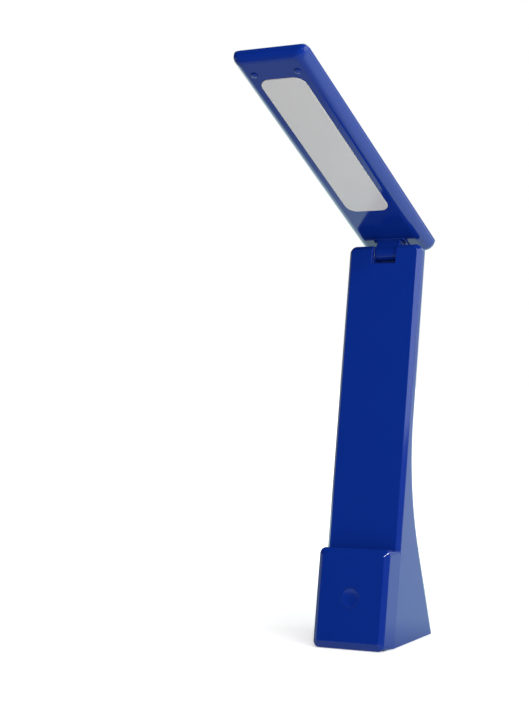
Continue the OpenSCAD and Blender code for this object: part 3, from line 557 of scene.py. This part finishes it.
for nodeName, trim in trimPieces.items():
    softCopy(nodeName, **trim)
print("pieces made")

# studio: a pale floor, a plain white surround and soft lamps, in metres
studio = {
    "floorReach": 3.0,
    "floorColor": (0.86, 0.86, 0.86, 1),
    "backWay": (0.3, 0.954, 0.0),  # the way from the lamp to the lit back
    # how far the floor is lifted towards white for the camera, near the foot and away from it
    "floorLift": (0.42, 1.0),
    "liftReach": (0.16, 0.5),
    # painted reflection: the glowing colour that glossy surfaces see in place of the floor; place
    # along backWay, and colour
    "floorShine": (
        (-0.62, (0.05, 0.06, 0.07, 1)),
        (-0.42, (0.36, 0.46, 0.42, 1)),
        (-0.03, (0.40, 0.52, 0.46, 1)),
        (0.10, (1.10, 1.50, 1.45, 1)),
        (0.60, (1.25, 1.58, 1.50, 1)),
    ),
    "shineReach": (-0.8, 0.8),
    # what they see of the surround: a lit back, and a rim of light that is weak at the front
    "backTint": (0.8, 1.0, 0.95),
    "backShine": 1.25,
    "backReach": (0.3, 0.95),
    "rimShine": 0.5,
    "rimHeight": (0.04, 0.2),
    "rimFront": 0.12,
    "rimReach": (-0.75, -0.3),
    "ambient": 0.45,
}


def tinted(level):
    # a level of light in the backdrop's own tint
    return (*(level * part for part in studio["backTint"]), 1)


def blankMaterial(name):
    material = bpy.data.materials.new(name)
    material.use_nodes = True
    material.node_tree.nodes.clear()
    return material


def floorRamp(tree, coords):
    # the colour ramp of the floor's painted reflection, a glow paler behind the lamp, as under a
    # lit backdrop
    low, high = studio["shineReach"]
    ramp = newNode(tree, "ShaderNodeValToRGB")
    stops = ramp.color_ramp.elements
    while len(stops) < len(studio["floorShine"]):
        stops.new(0.5)
    for stop, (place, color) in zip(stops, studio["floorShine"]):
        stop.position, stop.color = (place - low) / (high - low), color
    past = mathNode(tree, "SUBTRACT", along(tree, coords, studio["backWay"]), low)
    feed(tree, ramp.inputs["Fac"], mathNode(tree, "DIVIDE", past, high - low))
    return ramp.outputs["Color"]


def studioFloor():
    bpy.ops.object.select_all(action="DESELECT")
    bpy.ops.mesh.primitive_plane_add(size=2 * studio["floorReach"], location=(0, 0, 0))
    floor = bpy.context.object
    floor.name = "studioFloor"
    material = blankMaterial("paleFloor")
    tree = material.node_tree
    path = newNode(tree, "ShaderNodeLightPath")
    coords = newNode(tree, "ShaderNodeTexCoord").outputs["Object"]
    matte = newNode(tree, "ShaderNodeBsdfDiffuse")
    feed(tree, matte.inputs["Color"], studio["floorColor"])
    away = newNode(tree, "ShaderNodeVectorMath", operation="LENGTH")
    feed(tree, away.inputs[0], coords)
    paler = fade(tree, away.outputs["Value"], studio["floorLift"], studio["liftReach"])
    lift = newNode(tree, "ShaderNodeEmission")
    strength = mathNode(tree, "MULTIPLY", path.outputs["Is Camera Ray"], paler)
    feed(tree, lift.inputs["Strength"], strength)
    seen = newNode(tree, "ShaderNodeAddShader")
    feed(tree, seen.inputs[0], matte.outputs[0])
    feed(tree, seen.inputs[1], lift.outputs[0])
    # painted reflection: glossy rays see this glowing ramp instead of the lit floor
    shine = newNode(tree, "ShaderNodeEmission")
    feed(tree, shine.inputs["Color"], floorRamp(tree, coords))
    choose = newNode(tree, "ShaderNodeMixShader")
    feed(tree, choose.inputs["Fac"], path.outputs["Is Glossy Ray"])
    feed(tree, choose.inputs[1], seen.outputs[0])
    feed(tree, choose.inputs[2], shine.outputs[0])
    out = newNode(tree, "ShaderNodeOutputMaterial")
    feed(tree, out.inputs["Surface"], choose.outputs[0])
    floor.data.materials.append(material)


def studioWorld():
    world = bpy.data.worlds.new("studioSurround")
    bpy.context.scene.world = world
    world.use_nodes = True
    tree = world.node_tree
    tree.nodes.clear()
    path = newNode(tree, "ShaderNodeLightPath")
    way = newNode(tree, "ShaderNodeTexCoord").outputs["Generated"]
    split = newNode(tree, "ShaderNodeSeparateXYZ")
    feed(tree, split.inputs[0], way)
    low = fade(tree, split.outputs["Z"], (studio["rimShine"], 0.0), studio["rimHeight"])
    front = fade(tree, split.outputs["Y"], (studio["rimFront"], 1.0), studio["rimReach"])
    rim = mathNode(tree, "MULTIPLY", low, front)
    behind = fade(tree, along(tree, way, studio["backWay"]), (0.0, 1.0), studio["backReach"])
    edge = mixColors(tree, rim, (0, 0, 0, 1), tinted(1.0))
    shine = mixColors(tree, behind, edge, tinted(studio["backShine"]))
    ambient = (*(studio["ambient"],) * 3, 1)
    indirect = mixColors(tree, path.outputs["Is Glossy Ray"], ambient, shine)
    direct = mathNode(
        tree, "MAXIMUM", path.outputs["Is Camera Ray"], path.outputs["Is Transmission Ray"]
    )
    background = newNode(tree, "ShaderNodeBackground")
    feed(tree, background.inputs["Color"], mixColors(tree, direct, indirect, (1, 1, 1, 1)))
    feed(tree, background.inputs["Strength"], 1.0)
    out = newNode(tree, "ShaderNodeOutputWorld")
    feed(tree, out.inputs["Surface"], background.outputs[0])


# area lamps; one without shine lights the lamp but doesn't show in its gloss
studioLamps = {
    "sidePanel": {
        "place": (0.985, -0.155, 0.86), "aim": (0.0, 0.0, 0.86), "size": (0.9, 1.0),
        "level": 2.6, "tint": (0.84, 1.0, 1.0), "shine": True,
    },
    "keyFill": {
        "place": (1.0, -0.75, 0.55), "aim": (0.0, 0.0, 0.2), "size": (0.9, 0.9),
        "level": 4.4, "tint": (1.0, 1.0, 1.0), "shine": False,
    },
    "highLamp": {
        "place": (0.425, -0.631, 1.038), "aim": (0.0, 0.0, 0.1), "size": (0.13, 0.13),
        "level": 42.0, "tint": (1.0, 1.0, 1.0), "shine": True,
    },
    "smallLamp": {
        "place": (-0.27, -0.95, 0.98), "aim": (0.0, 0.0, 0.15), "size": (0.07, 0.07),
        "level": 26.0, "tint": (1.0, 1.0, 1.0), "shine": True,
    },
}


def placeLamp(name, place, aim, size, level, tint, shine):
    data = bpy.data.lights.new(name, "AREA")
    data.shape = "RECTANGLE"
    data.size, data.size_y = size
    data.color = tint
    data.energy = level * math.pi * size[0] * size[1]
    light = bpy.data.objects.new(name, data)
    bpy.context.scene.collection.objects.link(light)
    turn = (Vector(aim) - Vector(place)).to_track_quat("-Z", "Y")
    light.matrix_world = Matrix.LocRotScale(Vector(place), turn, None)
    light.visible_glossy = shine
    light.visible_camera = False


studioFloor()
studioWorld()
for name, lamp in studioLamps.items():
    placeLamp(name, **lamp)
bpy.context.scene.view_settings.view_transform = "Standard"
print("studio lit")
